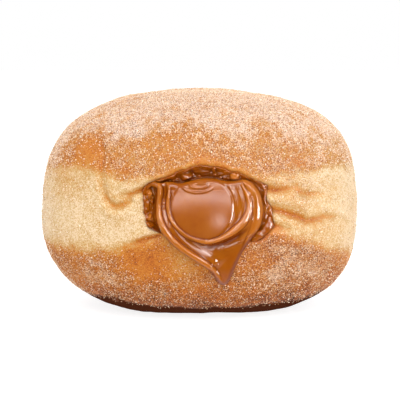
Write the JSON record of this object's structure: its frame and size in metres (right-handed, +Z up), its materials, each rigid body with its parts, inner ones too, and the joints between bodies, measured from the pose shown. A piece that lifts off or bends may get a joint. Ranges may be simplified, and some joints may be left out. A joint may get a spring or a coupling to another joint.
{
  "type": "caramel filled doughnut",
  "caption": "Puffed round sugared yeast doughnut, slit open at the front, with caramel filling that wells out of the slit and hangs down in a pointed tongue.",
  "frame": {"origin": "on the surface that the doughnut rests on, under the middle of its box", "axes": "+X across the doughnut, to the right when looking at the slit; -Y is the front, with the slit and the filling; +Z up, the flattened direction of the round"},
  "size_m": [0.0885, 0.0907, 0.0608],
  "materials": {
    "dough": "fried yeast dough, golden brown crust with a pale band round the middle, dusted with granulated sugar",
    "filling": "thick smooth caramel, glossy"
  },
  "bodies": {
    "root": {"dough": "dough", "filling": "filling"}
  },
  "joints": []
}
